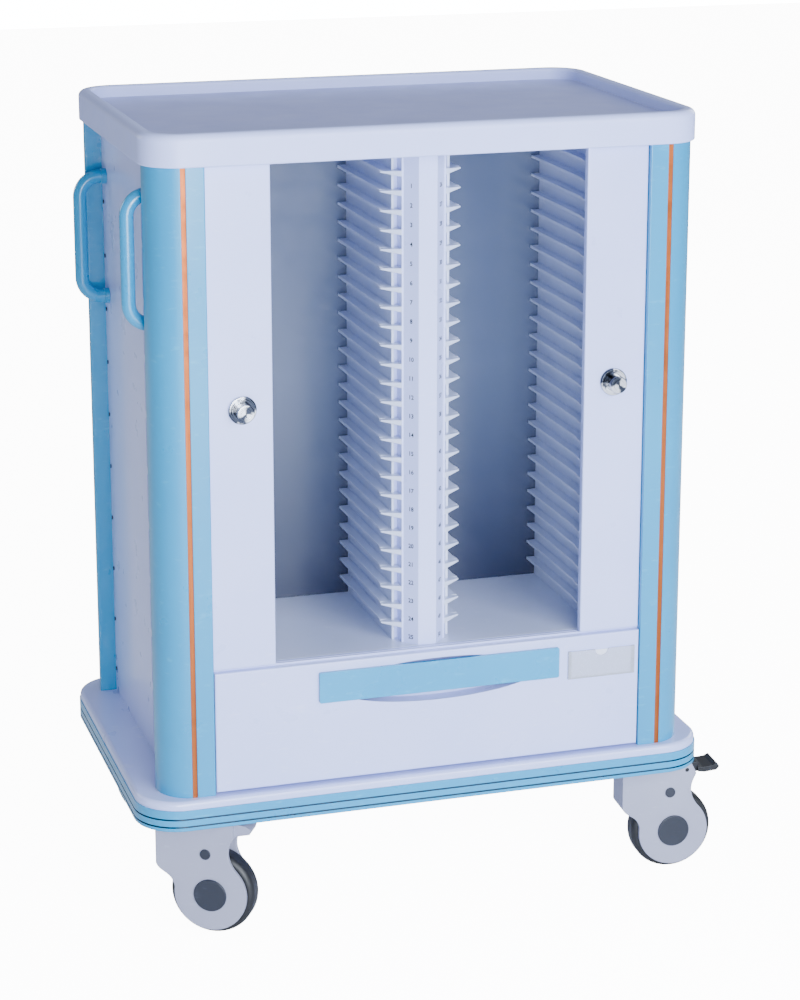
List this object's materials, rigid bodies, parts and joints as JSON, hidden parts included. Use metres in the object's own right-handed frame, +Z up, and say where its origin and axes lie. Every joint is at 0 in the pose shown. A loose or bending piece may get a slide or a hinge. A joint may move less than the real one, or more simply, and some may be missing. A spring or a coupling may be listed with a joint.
{
  "type": "medical record trolley",
  "caption": "Chart trolley with numbered slots behind two sliding locking doors, a drawer, a rimmed top, side handles and swivel casters.",
  "frame": {"origin": "on the floor, under the centre of the body", "axes": "+X to the trolley's right as seen from its front, +Y towards its back, +Z up; the doors and drawer face -Y"},
  "size_m": [0.7184, 0.4374, 0.931],
  "materials": {
    "white_abs": "satin gloss moulded ABS",
    "lilac_abs": "satin moulded ABS",
    "back_wall_gloss": "high gloss sheet",
    "blue_aluminium": "semi gloss powder coat",
    "blue_plastic": "semi gloss",
    "copper_trim": "satin copper tone",
    "painted_steel": "satin grey",
    "zinc_steel": "zinc plated",
    "dark_rivet": "dark",
    "clear_plastic": "clear",
    "card": "plain",
    "chrome": "polished",
    "caster_grey": "satin moulded nylon",
    "slate_cap": "satin",
    "tyre": "smooth tread",
    "black_plastic": "satin"
  },
  "bodies": {
    "root": {"top_tray": "white_abs", "inner_frame": "painted_steel", "chassis_frame": "painted_steel", "base_deck": "white_abs", "base_bumper": "blue_plastic", "caster_stems": "zinc_steel", "front_columns": "blue_aluminium", "rear_columns": "blue_aluminium", "column_stripes": "copper_trim", "left_side_panel": "white_abs", "right_side_panel": "white_abs", "back_panel": "white_abs", "panel_rivets": "dark_rivet", "left_handles": "blue_plastic", "back_wall": "back_wall_gloss", "liner_walls": "lilac_abs", "compartment_floor": "lilac_abs", "divider_box": "lilac_abs", "divider_nose": "white_abs", "left_outer_rails": "lilac_abs", "left_inner_rails": "lilac_abs", "right_inner_rails": "lilac_abs", "right_outer_rails": "lilac_abs", "door_tracks": "white_abs", "stored_curtains": "white_abs", "runner_fixed": "zinc_steel"},
    "drawer": {"drawer_box": "painted_steel", "drawer_front": "white_abs", "drawer_pull": "blue_plastic", "label_holder": "clear_plastic", "label_card": "card", "runner_inner": "zinc_steel"},
    "drawer_middle_runners": {"runner_middle": "zinc_steel"},
    "left_door": {"left_door_strip": "white_abs", "left_lock_body": "chrome"},
    "left_plunger": {"left_lock_plunger": "chrome"},
    "left_key_core": {"left_lock_core": "chrome"},
    "right_door": {"right_door_strip": "white_abs", "right_lock_body": "chrome"},
    "right_plunger": {"right_lock_plunger": "chrome"},
    "right_key_core": {"right_lock_core": "chrome"},
    "front_left_caster": {"front_left_caster_housing": "caster_grey", "front_left_caster_axle": "slate_cap"},
    "front_left_wheel": {"front_left_wheel_core": "caster_grey", "front_left_tyre": "tyre"},
    "front_right_caster": {"front_right_caster_housing": "caster_grey", "front_right_caster_axle": "slate_cap"},
    "front_right_wheel": {"front_right_wheel_core": "caster_grey", "front_right_tyre": "tyre"},
    "front_right_pedal": {"front_right_brake_pedal": "black_plastic"},
    "rear_left_caster": {"rear_left_caster_housing": "caster_grey", "rear_left_caster_axle": "slate_cap"},
    "rear_left_wheel": {"rear_left_wheel_core": "caster_grey", "rear_left_tyre": "tyre"},
    "rear_left_pedal": {"rear_left_brake_pedal": "black_plastic"},
    "rear_right_caster": {"rear_right_caster_housing": "caster_grey", "rear_right_caster_axle": "slate_cap"},
    "rear_right_wheel": {"rear_right_wheel_core": "caster_grey", "rear_right_tyre": "tyre"}
  },
  "joints": [
    {"name": "drawer_slide", "type": "slide", "parent": "root", "child": "drawer", "axis": [0, -1, 0], "range_m": [0, 0.25]},
    {"name": "middle_runner_slide", "type": "slide", "parent": "root", "child": "drawer_middle_runners", "axis": [0, -1, 0], "range_m": [0, 0.125]},
    {"name": "left_door_slide", "type": "slide", "parent": "root", "child": "left_door", "axis": [1, 0, 0], "range_m": [0, 0.183]},
    {"name": "left_lock_push", "type": "slide", "parent": "left_door", "child": "left_plunger", "axis": [0, 1, 0], "range_m": [0, 0.012], "stiffness_N_per_m": 400, "springref_m": -0.005},
    {"name": "left_key_turn", "type": "hinge", "parent": "left_plunger", "child": "left_key_core", "pos_m": [-0.2185, -0.2145, 0.6225], "axis": [0, 1, 0], "range_deg": [0, 90]},
    {"name": "right_door_slide", "type": "slide", "parent": "root", "child": "right_door", "axis": [-1, 0, 0], "range_m": [0, 0.183]},
    {"name": "right_lock_push", "type": "slide", "parent": "right_door", "child": "right_plunger", "axis": [0, 1, 0], "range_m": [0, 0.012], "stiffness_N_per_m": 400, "springref_m": -0.005},
    {"name": "right_key_turn", "type": "hinge", "parent": "right_plunger", "child": "right_key_core", "pos_m": [0.2185, -0.2145, 0.6225], "axis": [0, 1, 0], "range_deg": [0, 90]},
    {"name": "front_left_swivel", "type": "hinge", "parent": "root", "child": "front_left_caster", "pos_m": [-0.283, -0.165, 0.13], "axis": [0, 0, 1], "continuous": true},
    {"name": "front_left_roll", "type": "hinge", "parent": "front_left_caster", "child": "front_left_wheel", "pos_m": [-0.25471, -0.182, 0.05], "axis": [0.515, 0.8572, 0], "continuous": true},
    {"name": "front_right_swivel", "type": "hinge", "parent": "root", "child": "front_right_caster", "pos_m": [0.283, -0.165, 0.13], "axis": [0, 0, 1], "continuous": true},
    {"name": "front_right_roll", "type": "hinge", "parent": "front_right_caster", "child": "front_right_wheel", "pos_m": [0.31592, -0.1673, 0.05], "axis": [0.0698, 0.9976, 0], "continuous": true},
    {"name": "front_right_brake", "type": "hinge", "parent": "front_right_caster", "child": "front_right_pedal", "pos_m": [0.33188, -0.16842, 0.127], "axis": [0.0698, 0.9976, 0], "range_deg": [0, 15]},
    {"name": "rear_left_swivel", "type": "hinge", "parent": "root", "child": "rear_left_caster", "pos_m": [-0.283, 0.165, 0.13], "axis": [0, 0, 1], "continuous": true},
    {"name": "rear_left_roll", "type": "hinge", "parent": "rear_left_caster", "child": "rear_left_wheel", "pos_m": [-0.25, 0.165, 0.05], "axis": [0, 1, 0], "continuous": true},
    {"name": "rear_left_brake", "type": "hinge", "parent": "rear_left_caster", "child": "rear_left_pedal", "pos_m": [-0.234, 0.165, 0.127], "axis": [0, 1, 0], "range_deg": [0, 15]},
    {"name": "rear_right_swivel", "type": "hinge", "parent": "root", "child": "rear_right_caster", "pos_m": [0.283, 0.165, 0.13], "axis": [0, 0, 1], "continuous": true},
    {"name": "rear_right_roll", "type": "hinge", "parent": "rear_right_caster", "child": "rear_right_wheel", "pos_m": [0.31401, 0.17629, 0.05], "axis": [-0.342, 0.9397, 0], "continuous": true}
  ],
  "couplings": [
    {"joint": "middle_runner_slide", "follows": "drawer_slide", "ratio": 0.5}
  ]
}
